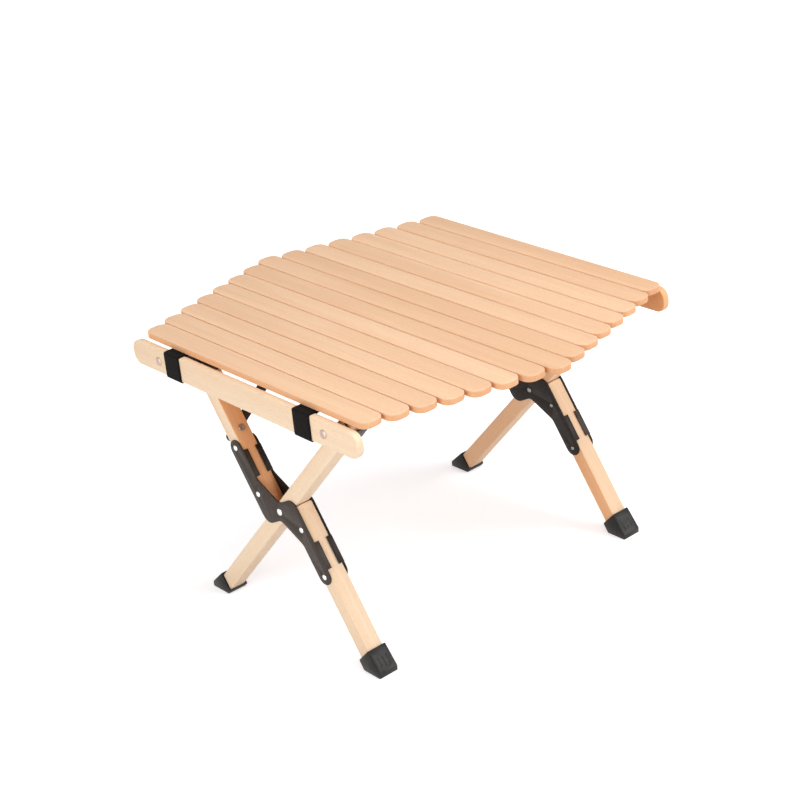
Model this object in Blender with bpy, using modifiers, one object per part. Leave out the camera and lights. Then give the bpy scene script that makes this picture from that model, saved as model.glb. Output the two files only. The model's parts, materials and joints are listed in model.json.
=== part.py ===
"""Roll-top folding camp table in beech with black steel fittings.

Frame: +Z up, origin on the floor under the middle of the top. X runs from the near end
to the far end, the way the top rolls up. Y runs along the slats.
Fifteen slats lie on two webbing straps, and each strap is looped round a rail at each end.
Each end stands on a straight leg that passes between two plates, which join the upper and
lower halves of a split leg. The rails hinge on the straight legs and rest in open hooks on
the split legs. Two-part spreader bars hold the ends apart.
"""
import math

import bmesh
import bpy
from mathutils import Matrix, Vector

# Driving dimensions, in metres and degrees
TOP_HEIGHT = 0.430
SLAT_THICKNESS = 0.010
SLAT_COUNT = 15
SLAT_PITCH = 0.0387
SLAT_GAP = 0.0012
MIDDLE_SLAT_LENGTH = 0.672
SLAT_STEP_BACK = 0.0237
SLAT_CORNER_RADIUS = 0.0145
SLAT_EDGE_ROUND = 0.0016

STRAP_THICKNESS = 0.0015
STRAP_WIDTH = 0.037
STRAP_TO_HINGE_PIN = 0.0449
STRAP_TO_HOOK_PIN = 0.0368
STRAP_LOOP_ROUND = 0.0026

RAIL_FRONT_END = 0.0701
RAIL_BACK_END = 0.0665
RAIL_HEIGHT = 0.038
RAIL_THICKNESS = 0.012
RAIL_CORNER_RADIUS = 0.0155
RAIL_EDGE_ROUND = 0.0018
RAIL_STANDOFF = 0.0235
HOOK_PIN_FROM_LEG = 0.0387

LEG_SPAN = 0.535
LEG_WIDTH = 0.0255
LEG_DEPTH = 0.028
LEG_EDGE_ROUND = 0.0026
CROSS_HEIGHT = 0.2045
CROSS_Y = -0.005
STRAIGHT_LEAN = 47.1
SPLIT_LEAN = 56.4
HINGE_PIN_OFFSET = 0.004
SPLIT_OFFSET = 0.033
SPLIT_GAP = 0.0012

PLATE_THICKNESS = 0.002
PLATE_REACH = 0.1122
PLATE_TIP = 0.0122
PLATE_INNER_RIVET = 0.0373
PLATE_SHOULDER = 0.008
PLATE_WAIST = 0.012
PLATE_NECK = 0.058
PLATE_SHOULDER_RADIUS = 0.017
TAB_START = 0.061
TAB_LENGTH = 0.043
TAB_DEPTH = 0.007

FOOT_WALL = 0.003
FOOT_SOLE = 0.005
FOOT_LONG_SIDE = 0.045
FOOT_BACK_DROP = 0.007
FOOT_TOE_FLARE = 0.003
FOOT_TOE_HEIGHT = 0.0085
FOOT_EDGE_ROUND = 0.0016
FOOT_GROOVE_COUNT = 3
FOOT_GROOVE_WIDTH = 0.0028
FOOT_GROOVE_LENGTH = 0.015
FOOT_GROOVE_DEPTH = 0.0009
FOOT_GROOVE_SPACING = 0.0075
FOOT_GROOVE_PLACE = 0.4

BRACKET_LENGTH = 0.032
BRACKET_TOP_MARGIN = 0.008
BRACKET_WALL = 0.002
LEG_TOP_MARGIN = 0.012

HOOK_THICKNESS = 0.002
HOOK_WALL = 0.0055
HOOK_LEG_LAP = 0.034
HOOK_RIVET_DROP = 0.016
HOOK_BACK_HEIGHT = 0.007
HOOK_LIP_ANGLE = 38.0
HOOK_LIP_LENGTH = 0.005

RIVET_RADIUS = 0.003
RIVET_HEAD_RADIUS = 0.0052
RIVET_HEAD_HEIGHT = 0.0017
PIVOT_RADIUS = 0.004
PIVOT_HEAD_RADIUS = 0.0066
PIVOT_HEAD_HEIGHT = 0.002
SHOULDER_RADIUS = 0.007

BAR_WIDTH = 0.015
BAR_THICKNESS = 0.0025
BAR_END_REACH = 0.008
BACK_BAR_HEIGHT = 0.299
FRONT_BAR_HEIGHT = 0.356
BACK_KNEE_DROP = 0.0085
FRONT_KNEE_DROP = 0.0145

SEAT_GAP = 0.0003
BORE_GAP = 0.0003
ROUND_STEPS = 12
HOLE_STEPS = 12

# Sizes worked out from the driving ones
SLAT_UNDERSIDE = TOP_HEIGHT - SLAT_THICKNESS
STRAP_TOP = SLAT_UNDERSIDE - SEAT_GAP
STRAP_BOTTOM = STRAP_TOP - STRAP_THICKNESS
LEG_FACE = LEG_SPAN / 2
LEG_MIDDLE = LEG_FACE - LEG_DEPTH / 2
LEG_BACK = LEG_FACE - LEG_DEPTH
RAIL_INNER = LEG_FACE + RAIL_STANDOFF
RAIL_MIDDLE = RAIL_INNER + RAIL_THICKNESS / 2
RAIL_OUTER = RAIL_INNER + RAIL_THICKNESS
RAIL_Z = STRAP_BOTTOM - SEAT_GAP - RAIL_HEIGHT / 2
STRAIGHT_ANGLE = math.radians(180 - STRAIGHT_LEAN)
SPLIT_ANGLE = math.radians(SPLIT_LEAN)
STRAIGHT_PIN_REACH = (RAIL_Z - CROSS_HEIGHT + HINGE_PIN_OFFSET * math.cos(STRAIGHT_ANGLE)) \
    / math.sin(STRAIGHT_ANGLE)
SPLIT_TOP_REACH = (RAIL_Z - CROSS_HEIGHT + SPLIT_OFFSET * math.cos(SPLIT_ANGLE)) \
    / math.sin(SPLIT_ANGLE)
HINGE_PIN_Y = CROSS_Y + STRAIGHT_PIN_REACH * math.cos(STRAIGHT_ANGLE) \
    + HINGE_PIN_OFFSET * math.sin(STRAIGHT_ANGLE)
SPLIT_TOP_Y = CROSS_Y + SPLIT_TOP_REACH * math.cos(SPLIT_ANGLE) \
    + SPLIT_OFFSET * math.sin(SPLIT_ANGLE)
HOOK_PIN_Y = SPLIT_TOP_Y + HOOK_PIN_FROM_LEG
RAIL_LENGTH = RAIL_FRONT_END + HOOK_PIN_Y - HINGE_PIN_Y + RAIL_BACK_END
RAIL_MIDDLE_Y = (HINGE_PIN_Y - RAIL_FRONT_END + HOOK_PIN_Y + RAIL_BACK_END) / 2

NEAR = ("near", -1)
FAR = ("far", 1)
ENDS = (NEAR, FAR)

BEECH = ("beech", (0.86, 0.66, 0.45), 0.45, 0.0)
BEECH_LEG = ("beech_leg", (0.88, 0.70, 0.50), 0.45, 0.0)
WEBBING = ("black_webbing", (0.015, 0.014, 0.014), 0.85, 0.0)
BLACK_STEEL = ("black_steel", (0.035, 0.032, 0.030), 0.42, 0.6)
BRIGHT_STEEL = ("bright_steel", (0.72, 0.71, 0.69), 0.28, 1.0)
RUBBER = ("black_rubber", (0.02, 0.02, 0.019), 0.6, 0.0)


def clear_scene():
    for obj in list(bpy.data.objects):
        bpy.data.objects.remove(obj, do_unlink=True)


def collection(name):
    found = bpy.data.collections.new(name)
    bpy.context.scene.collection.children.link(found)
    return found


clear_scene()
PARTS = collection("roll_top_table")
CUTTERS = collection("cutters")


def material(spec):
    name, colour, roughness, metallic = spec
    found = bpy.data.materials.get(name)
    if found is None:
        found = bpy.data.materials.new(name)
        found.use_nodes = True
        shader = found.node_tree.nodes["Principled BSDF"]
        shader.inputs["Base Color"].default_value = (*colour, 1.0)
        shader.inputs["Roughness"].default_value = roughness
        shader.inputs["Metallic"].default_value = metallic
        found.diffuse_color = (*colour, 1.0)
    return found


def empty(name, location=(0, 0, 0), rotation=(0, 0, 0), parent=None):
    found = bpy.data.objects.new(name, None)
    PARTS.objects.link(found)
    found.location = location
    found.rotation_euler = rotation
    found.parent = parent
    return found


def part(name, mesh, spec, parent, location=(0, 0, 0), rotation=(0, 0, 0)):
    """A named node; location and rotation are world values, kept under its parent."""
    obj = bpy.data.objects.new(name, mesh)
    PARTS.objects.link(obj)
    obj.parent = parent
    obj.matrix_parent_inverse = Matrix.Translation(-parent.location)
    obj.location = location
    obj.rotation_euler = rotation
    mesh.materials.clear()
    mesh.materials.append(material(spec))
    return obj


def cutter(name, mesh, location=(0, 0, 0), rotation=(0, 0, 0)):
    obj = bpy.data.objects.new(name, mesh)
    CUTTERS.objects.link(obj)
    obj.location = location
    obj.rotation_euler = rotation
    obj.hide_render = True
    obj.display_type = 'WIRE'
    return obj


def cut(obj, tool, operation='DIFFERENCE'):
    boolean = obj.modifiers.new(operation.lower(), 'BOOLEAN')
    boolean.operation = operation
    boolean.solver = 'EXACT'
    boolean.object = tool
    return boolean


def arc(centre, radius, start, end, steps):
    """Points on a circle from one angle to another, in degrees."""
    angles = [math.radians(start + (end - start) * i / steps) for i in range(steps + 1)]
    return [(centre[0] + radius * math.cos(a), centre[1] + radius * math.sin(a)) for a in angles]


def rounded(corners, steps=5):
    """A closed outline from (x, y, radius) corners, each corner turned into an arc."""
    outline = []
    for i, (x, y, radius) in enumerate(corners):
        here = Vector((x, y))
        back = (Vector(corners[i - 1][:2]) - here).normalized()
        ahead = (Vector(corners[(i + 1) % len(corners)][:2]) - here).normalized()
        half = back.angle(ahead) / 2
        if radius <= 0:
            outline.append((x, y))
            continue
        centre = here + (back + ahead).normalized() * (radius / math.sin(half))
        first = here + back * (radius / math.tan(half)) - centre
        last = here + ahead * (radius / math.tan(half)) - centre
        turn = first.angle_signed(last)
        for k in range(steps + 1):
            arm = first.copy()
            arm.rotate(Matrix.Rotation(-turn * k / steps, 2))
            outline.append(tuple(centre + arm))
    return outline


def hole(x, y, radius):
    return arc((x, y), radius, 0, 360 - 360 / HOLE_STEPS, HOLE_STEPS - 1)


def sheet_mesh(name, outline, thickness, holes=()):
    """A flat outline with holes, as a filled 2D curve extruded to its thickness."""
    curve = bpy.data.curves.new(name + "_outline", 'CURVE')
    curve.dimensions = '2D'
    curve.fill_mode = 'BOTH'
    curve.extrude = thickness / 2
    for loop in (outline, *holes):
        spline = curve.splines.new('POLY')
        spline.points.add(len(loop) - 1)
        for point, (x, y) in zip(spline.points, loop):
            point.co = (x, y, 0, 1)
        spline.use_cyclic_u = True
    carrier = bpy.data.objects.new(name + "_outline", curve)
    CUTTERS.objects.link(carrier)
    bpy.context.view_layer.update()
    evaluated = carrier.evaluated_get(bpy.context.evaluated_depsgraph_get())
    mesh = bpy.data.meshes.new_from_object(evaluated)
    mesh.name = name
    bpy.data.objects.remove(carrier, do_unlink=True)
    bpy.data.curves.remove(curve)
    work = bmesh.new()
    work.from_mesh(mesh)
    bmesh.ops.remove_doubles(work, verts=work.verts, dist=1e-6)
    bmesh.ops.dissolve_limit(work, angle_limit=math.radians(0.5), verts=work.verts, edges=work.edges)
    bmesh.ops.recalc_face_normals(work, faces=work.faces)
    work.to_mesh(mesh)
    work.free()
    return mesh


def soften(obj, width, segments=2):
    bevel = obj.modifiers.new("edge_round", 'BEVEL')
    bevel.width = width
    bevel.segments = segments
    bevel.limit_method = 'ANGLE'
    bevel.angle_limit = math.radians(40)
    bevel.use_clamp_overlap = False
    return bevel


def turned_mesh(name, profile):
    """A turned piece along Z from (radius, height) points, top to bottom."""
    mesh = bpy.data.meshes.new(name + "_profile")
    work = bmesh.new()
    points = [work.verts.new((radius, 0, height)) for radius, height in profile]
    for first, second in zip(points, points[1:]):
        work.edges.new((first, second))
    work.to_mesh(mesh)
    work.free()
    carrier = bpy.data.objects.new(name + "_profile", mesh)
    CUTTERS.objects.link(carrier)
    screw = carrier.modifiers.new("turn", 'SCREW')
    screw.steps = ROUND_STEPS
    screw.render_steps = ROUND_STEPS
    screw.use_merge_vertices = True
    screw.merge_threshold = 0.00005
    screw.use_smooth_shade = True
    bpy.context.view_layer.update()
    evaluated = carrier.evaluated_get(bpy.context.evaluated_depsgraph_get())
    turned = bpy.data.meshes.new_from_object(evaluated)
    turned.name = name
    bpy.data.objects.remove(carrier, do_unlink=True)
    bpy.data.meshes.remove(mesh)
    turned.set_sharp_from_angle(angle=math.radians(35))
    return turned


def rod_mesh(name, radius, length):
    """A plain round cutter, centred, along Z."""
    mesh = bpy.data.meshes.new(name)
    work = bmesh.new()
    bmesh.ops.create_cone(work, cap_ends=True, segments=HOLE_STEPS, radius1=radius,
                          radius2=radius, depth=length)
    work.to_mesh(mesh)
    work.free()
    return mesh


def block_mesh(name, size, centre=(0, 0, 0)):
    mesh = bpy.data.meshes.new(name)
    work = bmesh.new()
    bmesh.ops.create_cube(work, size=1.0)
    bmesh.ops.scale(work, vec=size, verts=work.verts)
    bmesh.ops.translate(work, vec=centre, verts=work.verts)
    work.to_mesh(mesh)
    work.free()
    return mesh


def dome(radius, height, top, shank):
    """Half of a rivet: a domed head from its crown at height top, down to the shank."""
    crown = [(radius * math.sin(math.radians(a)), top + height * math.cos(math.radians(a)))
             for a in (0, 50, 90)]
    return [*crown, (shank, top)]


def rivet_profile(shank, head, height, grip):
    """Domed heads on both ends of a shank, with the grip between their seats."""
    upper = dome(head, height, grip / 2, shank)
    lower = [(radius, -z) for radius, z in reversed(upper)]
    return [*upper, *lower]


# The side view is drawn in the Y-Z plane and extruded along X
SIDE_VIEW = (math.pi / 2, 0, math.pi / 2)
# A turned piece lies along X
ALONG_X = (0, math.pi / 2, 0)


def lean_point(angle, reach, offset=0.0):
    """A point of the side view: reach along a leg from the cross pivot, offset to its right."""
    y = CROSS_Y + reach * math.cos(angle) + offset * math.sin(angle)
    z = CROSS_HEIGHT + reach * math.sin(angle) - offset * math.cos(angle)
    return (y, z)


def reach_at_height(angle, height, offset):
    return (height - CROSS_HEIGHT + offset * math.cos(angle)) / math.sin(angle)


def cut_hole_along_x(obj, name, points, radius, middle, length):
    """Round holes through a piece along X, at points of the side view."""
    for i, (y, z) in enumerate(points):
        tool = cutter("%s_hole_%d" % (name, i + 1), rod_mesh(name + "_rod", radius, length),
                      (middle, y, z), ALONG_X)
        cut(obj, tool)


def slat(index, parent):
    step = index - (SLAT_COUNT - 1) / 2
    length = MIDDLE_SLAT_LENGTH - SLAT_STEP_BACK * abs(step)
    half_width = (SLAT_PITCH - SLAT_GAP) / 2
    half_length = length / 2
    corner = min(SLAT_CORNER_RADIUS, half_width * 0.98)
    outline = rounded([(half_width, -half_length, corner), (half_width, half_length, corner),
                       (-half_width, half_length, corner), (-half_width, -half_length, corner)],
                      steps=4)
    name = "slat_%02d" % (index + 1)
    mesh = sheet_mesh(name, outline, SLAT_THICKNESS)
    obj = part(name, mesh, BEECH, parent,
               (step * SLAT_PITCH, 0, TOP_HEIGHT - SLAT_THICKNESS / 2))
    soften(obj, SLAT_EDGE_ROUND)


def strap(name, y, parent):
    """Webbing under the slats with a sewn loop round the rail at each end."""
    loop_bottom = RAIL_Z - RAIL_HEIGHT / 2 - SEAT_GAP - STRAP_THICKNESS
    loop_outer = RAIL_OUTER + SEAT_GAP + STRAP_THICKNESS
    loop_inner = RAIL_INNER - SEAT_GAP - STRAP_THICKNESS
    right = [(loop_inner, STRAP_BOTTOM, 0), (loop_inner, loop_bottom, STRAP_LOOP_ROUND),
             (loop_outer, loop_bottom, STRAP_LOOP_ROUND),
             (loop_outer, STRAP_TOP, STRAP_LOOP_ROUND)]
    left = [(-x, z, r) for x, z, r in reversed(right)]
    outline = rounded(right + left, steps=3)
    holes = []
    for sign in (-1, 1):
        inner = RAIL_INNER - SEAT_GAP
        outer = RAIL_OUTER + SEAT_GAP
        low = loop_bottom + STRAP_THICKNESS
        holes.append([(sign * inner, low), (sign * outer, low), (sign * outer, STRAP_BOTTOM),
                      (sign * inner, STRAP_BOTTOM)])
    mesh = sheet_mesh(name, outline, STRAP_WIDTH, holes)
    part(name, mesh, WEBBING, parent, (0, y, 0), (math.pi / 2, 0, 0))


def rail(end, parent):
    word, sign = end
    name = "rail_" + word
    half = RAIL_LENGTH / 2
    outline = rounded([(half, -RAIL_HEIGHT / 2, RAIL_CORNER_RADIUS),
                       (half, RAIL_HEIGHT / 2, RAIL_CORNER_RADIUS),
                       (-half, RAIL_HEIGHT / 2, RAIL_CORNER_RADIUS),
                       (-half, -RAIL_HEIGHT / 2, RAIL_CORNER_RADIUS)])
    mesh = sheet_mesh(name, outline, RAIL_THICKNESS)
    middle = sign * RAIL_MIDDLE
    obj = part(name, mesh, BEECH_LEG, parent, (middle, RAIL_MIDDLE_Y, RAIL_Z), SIDE_VIEW)
    soften(obj, RAIL_EDGE_ROUND)
    pins = [(HINGE_PIN_Y, RAIL_Z), (HOOK_PIN_Y, RAIL_Z)]
    cut_hole_along_x(obj, name, pins, PIVOT_RADIUS + BORE_GAP, middle, RAIL_THICKNESS * 2)


def stop_reach(offset):
    """The reach at which a split leg's side ends, just clear of the straight leg's face."""
    crossing = STRAIGHT_ANGLE - SPLIT_ANGLE
    clear = LEG_WIDTH / 2 + SPLIT_GAP - abs(offset) * math.cos(crossing)
    return math.copysign(clear / math.sin(crossing), offset)


def leg_outline(angle, offset, low, high, high_round):
    """A leg between two ends along its axis, each given as a reach for its left and right side."""
    left = offset - LEG_WIDTH / 2
    right = offset + LEG_WIDTH / 2
    corners = [(low(right), right, 0), (high(right), right, high_round),
               (high(left), left, high_round), (low(left), left, 0)]
    return rounded([(*lean_point(angle, reach, side), r) for reach, side, r in corners])


def sole_end(angle):
    """The end of a leg that is cut level above its sole."""
    return lambda offset: reach_at_height(angle, FOOT_SOLE, offset)


def leg(name, end, outline, parent, holes):
    sign = end[1]
    mesh = sheet_mesh(name, outline, LEG_DEPTH)
    obj = part(name, mesh, BEECH_LEG, parent, (sign * LEG_MIDDLE, 0, 0), SIDE_VIEW)
    soften(obj, LEG_EDGE_ROUND)
    for group, radius in holes:
        cut_hole_along_x(obj, "%s_%d" % (name, round(radius * 1e5)), group, radius,
                         sign * LEG_MIDDLE, LEG_DEPTH * 2)
    return obj


def stud_hole(obj, name, end, angle, reach, offset):
    """The hole for a spreader bar's stud, square to the leg and in the side view."""
    y, z = lean_point(angle, reach, offset)
    tool = cutter(name + "_stud_hole", rod_mesh(name + "_stud", RIVET_RADIUS + BORE_GAP,
                                                LEG_WIDTH * 2),
                  (end[1] * LEG_MIDDLE, y, z), (angle, 0, 0))
    cut(obj, tool)


def straight_leg(end, parent):
    name = "straight_leg_" + end[0]
    high = STRAIGHT_PIN_REACH + LEG_TOP_MARGIN
    outline = leg_outline(STRAIGHT_ANGLE, 0.0, sole_end(STRAIGHT_ANGLE), lambda offset: high,
                          LEG_WIDTH * 0.49)
    hinge = [(HINGE_PIN_Y, RAIL_Z)]
    cross = [lean_point(STRAIGHT_ANGLE, 0.0)]
    holes = [(hinge + cross, PIVOT_RADIUS + BORE_GAP)]
    obj = leg(name, end, outline, parent, holes)
    stud_hole(obj, name, end, STRAIGHT_ANGLE, front_bar_reach(), 0.0)


def split_leg(end, parent):
    word = end[0]
    rivets = (PLATE_INNER_RIVET, PLATE_REACH)
    upper_points = [lean_point(SPLIT_ANGLE, r, SPLIT_OFFSET) for r in rivets]
    lower_points = [lean_point(SPLIT_ANGLE, -r, -SPLIT_OFFSET) for r in rivets]
    hook_point = lean_point(SPLIT_ANGLE, SPLIT_TOP_REACH - HOOK_RIVET_DROP, SPLIT_OFFSET)
    high = SPLIT_TOP_REACH + LEG_TOP_MARGIN / 2
    upper = leg("split_leg_upper_" + word, end,
                leg_outline(SPLIT_ANGLE, SPLIT_OFFSET, stop_reach, lambda offset: high,
                            LEG_WIDTH * 0.45),
                parent, [(upper_points + [hook_point], RIVET_RADIUS + BORE_GAP)])
    stud_hole(upper, "split_leg_upper_" + word, end, SPLIT_ANGLE, back_bar_reach(), SPLIT_OFFSET)
    leg("split_leg_lower_" + word, end,
        leg_outline(SPLIT_ANGLE, -SPLIT_OFFSET, sole_end(SPLIT_ANGLE), stop_reach, 0),
        parent, [(lower_points, RIVET_RADIUS + BORE_GAP)])


def plate_outline():
    """The Z-shaped cross plate, in (reach, offset) values of the split leg."""
    half = LEG_WIDTH / 2 + SEAT_GAP + PLATE_THICKNESS / 2
    outer = SPLIT_OFFSET + half
    inner = SPLIT_OFFSET - half
    tip = PLATE_REACH + PLATE_TIP
    end_round = half * 0.98
    one_arm = [(tip, inner, end_round), (tip, outer, end_round),
               (-PLATE_SHOULDER, outer, PLATE_SHOULDER_RADIUS),
               (-PLATE_WAIST, PLATE_SHOULDER, PLATE_SHOULDER_RADIUS * 0.7),
               (-PLATE_NECK, -inner, PLATE_SHOULDER_RADIUS)]
    return one_arm + [(-reach, -offset, radius) for reach, offset, radius in one_arm]


def cross_plate(end, face, parent):
    """A plate on the outer or inner side of the legs, with two tabs folded onto them."""
    word, sign = end
    name = "cross_plate_%s_%s" % (face, word)
    outward = 1 if face == "outer" else -1
    surface = LEG_FACE if face == "outer" else LEG_BACK
    middle = surface + outward * (SEAT_GAP + PLATE_THICKNESS / 2)
    outline = rounded([(*lean_point(SPLIT_ANGLE, reach, offset), radius)
                       for reach, offset, radius in plate_outline()])
    rivets = [(PLATE_INNER_RIVET, SPLIT_OFFSET), (PLATE_REACH, SPLIT_OFFSET)]
    rivets += [(-reach, -offset) for reach, offset in rivets]
    holes = [hole(*lean_point(SPLIT_ANGLE, reach, offset), RIVET_RADIUS + BORE_GAP)
             for reach, offset in rivets]
    holes.append(hole(CROSS_Y, CROSS_HEIGHT, PIVOT_RADIUS + BORE_GAP))
    mesh = sheet_mesh(name, outline, PLATE_THICKNESS, holes)
    obj = part(name, mesh, BLACK_STEEL, parent, (sign * middle, 0, 0), SIDE_VIEW)
    tab_size = (TAB_DEPTH + PLATE_THICKNESS, TAB_LENGTH, PLATE_THICKNESS)
    tab_middle = middle + outward * PLATE_THICKNESS / 2 - outward * tab_size[0] / 2
    leg_side = LEG_WIDTH / 2 + SEAT_GAP + PLATE_THICKNESS / 2
    for label, reach, offset in (
            ("upper", TAB_START + TAB_LENGTH / 2, SPLIT_OFFSET - leg_side),
            ("lower", -TAB_START - TAB_LENGTH / 2, -SPLIT_OFFSET - leg_side)):
        y, z = lean_point(SPLIT_ANGLE, reach, offset)
        tool = cutter("%s_tab_%s" % (name, label), block_mesh(name + "_tab", tab_size),
                      (sign * tab_middle, y, z), (SPLIT_ANGLE, 0, 0))
        cut(obj, tool, 'UNION')


def plate_rivets(end, parent):
    word, sign = end
    grip = LEG_DEPTH + 2 * (SEAT_GAP + PLATE_THICKNESS + SEAT_GAP)
    profile = rivet_profile(RIVET_RADIUS, RIVET_HEAD_RADIUS, RIVET_HEAD_HEIGHT, grip)
    spots = [(PLATE_REACH, SPLIT_OFFSET), (PLATE_INNER_RIVET, SPLIT_OFFSET),
             (-PLATE_INNER_RIVET, -SPLIT_OFFSET), (-PLATE_REACH, -SPLIT_OFFSET)]
    for i, (reach, offset) in enumerate(spots):
        name = "plate_rivet_%s_%d" % (word, i + 1)
        y, z = lean_point(SPLIT_ANGLE, reach, offset)
        part(name, turned_mesh(name, profile), BRIGHT_STEEL, parent,
             (sign * LEG_MIDDLE, y, z), ALONG_X)
    name = "cross_pivot_" + word
    profile = rivet_profile(PIVOT_RADIUS, PIVOT_HEAD_RADIUS, PIVOT_HEAD_HEIGHT, grip)
    part(name, turned_mesh(name, profile), BRIGHT_STEEL, parent,
         (sign * LEG_MIDDLE, CROSS_Y, CROSS_HEIGHT), ALONG_X)


def foot(name, end, angle, offset, long_side, parent):
    """A rubber shoe on a leg's end, level on the floor; long_side is +1 right, -1 left."""
    sign = end[1]
    half = LEG_WIDTH / 2 + FOOT_WALL
    inside = offset + long_side * half
    outside = offset - long_side * half
    toe = inside + long_side * FOOT_TOE_FLARE
    top = reach_at_height(angle, 0.0, inside) + FOOT_LONG_SIDE
    toe_top = lean_point(angle, reach_at_height(angle, FOOT_TOE_HEIGHT, toe), toe)
    outline = [lean_point(angle, top, inside), toe_top, (toe_top[0], 0.0),
               lean_point(angle, reach_at_height(angle, 0.0, outside), outside),
               lean_point(angle, top - FOOT_BACK_DROP, outside)]
    depth = LEG_DEPTH + 2 * FOOT_WALL
    obj = part(name, sheet_mesh(name, outline, depth), RUBBER, parent,
               (sign * LEG_MIDDLE, 0, 0), SIDE_VIEW)
    soften(obj, FOOT_EDGE_ROUND)
    room = LEG_WIDTH / 2 + SEAT_GAP
    sole = FOOT_SOLE - SEAT_GAP
    beyond = top + FOOT_LONG_SIDE
    pocket = [(reach_at_height(angle, sole, offset + room), offset + room),
              (beyond, offset + room), (beyond, offset - room),
              (reach_at_height(angle, sole, offset - room), offset - room)]
    pocket_mesh = sheet_mesh(name + "_pocket", [lean_point(angle, *spot) for spot in pocket],
                             LEG_DEPTH + 2 * SEAT_GAP)
    cut(obj, cutter(name + "_pocket", pocket_mesh, (sign * LEG_MIDDLE, 0, 0), SIDE_VIEW))
    face_top, face_low = (Vector(point) for point in outline[:2])
    face = face_top - face_low
    y, z = face_low + face * FOOT_GROOVE_PLACE
    for i in range(FOOT_GROOVE_COUNT):
        shift = (i - (FOOT_GROOVE_COUNT - 1) / 2) * FOOT_GROOVE_SPACING
        tool = cutter("%s_groove_%d" % (name, i + 1),
                      block_mesh(name + "_groove", (FOOT_GROOVE_WIDTH, FOOT_GROOVE_LENGTH,
                                                    FOOT_GROOVE_DEPTH * 2)),
                      (sign * (LEG_MIDDLE + shift), y, z), (math.atan2(face.y, face.x), 0, 0))
        cut(obj, tool)


def hinge_bracket(end, parent):
    """A channel folded round the top of the straight leg, bored for the hinge pin."""
    word, sign = end
    name = "hinge_bracket_" + word
    inner = LEG_DEPTH / 2 + SEAT_GAP
    outer = inner + BRACKET_WALL
    web = -LEG_WIDTH / 2 - SEAT_GAP
    lip = LEG_WIDTH / 2
    outline = [(-outer, lip), (-inner, lip), (-inner, web), (inner, web), (inner, lip),
               (outer, lip), (outer, web - BRACKET_WALL), (-outer, web - BRACKET_WALL)]
    mesh = sheet_mesh(name, outline, BRACKET_LENGTH)
    reach = STRAIGHT_PIN_REACH + BRACKET_TOP_MARGIN - BRACKET_LENGTH / 2
    y, z = lean_point(STRAIGHT_ANGLE, reach)
    obj = part(name, mesh, BLACK_STEEL, parent, (sign * LEG_MIDDLE, y, z),
               (STRAIGHT_ANGLE - math.pi / 2, 0, 0))
    cut_hole_along_x(obj, name, [(HINGE_PIN_Y, RAIL_Z)],
                     PIVOT_RADIUS + BORE_GAP, sign * LEG_MIDDLE, LEG_DEPTH * 2)


def hinge_pin(end, parent):
    """The shouldered pin through the rail, the bracket and the straight leg."""
    word, sign = end
    name = "hinge_pin_" + word
    outer_seat = RAIL_OUTER + SEAT_GAP
    shoulder_out = RAIL_INNER - SEAT_GAP
    bracket_face = LEG_FACE + SEAT_GAP + BRACKET_WALL
    shoulder_in = bracket_face + SEAT_GAP
    inner_seat = LEG_BACK - SEAT_GAP - BRACKET_WALL - SEAT_GAP
    head = dome(PIVOT_HEAD_RADIUS, PIVOT_HEAD_HEIGHT, outer_seat, PIVOT_RADIUS)
    tail = [(r, 2 * inner_seat - z) for r, z in
            reversed(dome(PIVOT_HEAD_RADIUS, PIVOT_HEAD_HEIGHT, inner_seat, PIVOT_RADIUS))]
    middle = [(PIVOT_RADIUS, shoulder_out), (SHOULDER_RADIUS, shoulder_out),
              (SHOULDER_RADIUS, shoulder_in), (PIVOT_RADIUS, shoulder_in)]
    part(name, turned_mesh(name, [*head, *middle, *tail]), BRIGHT_STEEL, parent,
         (0, HINGE_PIN_Y, RAIL_Z), (0, sign * math.pi / 2, 0))


def hook_pin(end, parent):
    """The headed pin on the rail's inner side that sits in the split leg's hook."""
    word, sign = end
    name = "hook_pin_" + word
    outer_seat = RAIL_OUTER + SEAT_GAP
    shoulder_out = RAIL_INNER - SEAT_GAP
    hook_face = LEG_FACE + SEAT_GAP + HOOK_THICKNESS
    shoulder_in = hook_face + SEAT_GAP
    flange = LEG_FACE
    tip = flange - PIVOT_HEAD_HEIGHT
    head = dome(PIVOT_HEAD_RADIUS, PIVOT_HEAD_HEIGHT, outer_seat, PIVOT_RADIUS)
    body = [(PIVOT_RADIUS, shoulder_out), (SHOULDER_RADIUS, shoulder_out),
            (SHOULDER_RADIUS, shoulder_in), (PIVOT_RADIUS, shoulder_in),
            (PIVOT_RADIUS, flange), (PIVOT_HEAD_RADIUS, flange), (PIVOT_HEAD_RADIUS, tip), (0, tip)]
    part(name, turned_mesh(name, [*head, *body]), BRIGHT_STEEL, parent,
         (0, HOOK_PIN_Y, RAIL_Z), (0, sign * math.pi / 2, 0))


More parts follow.
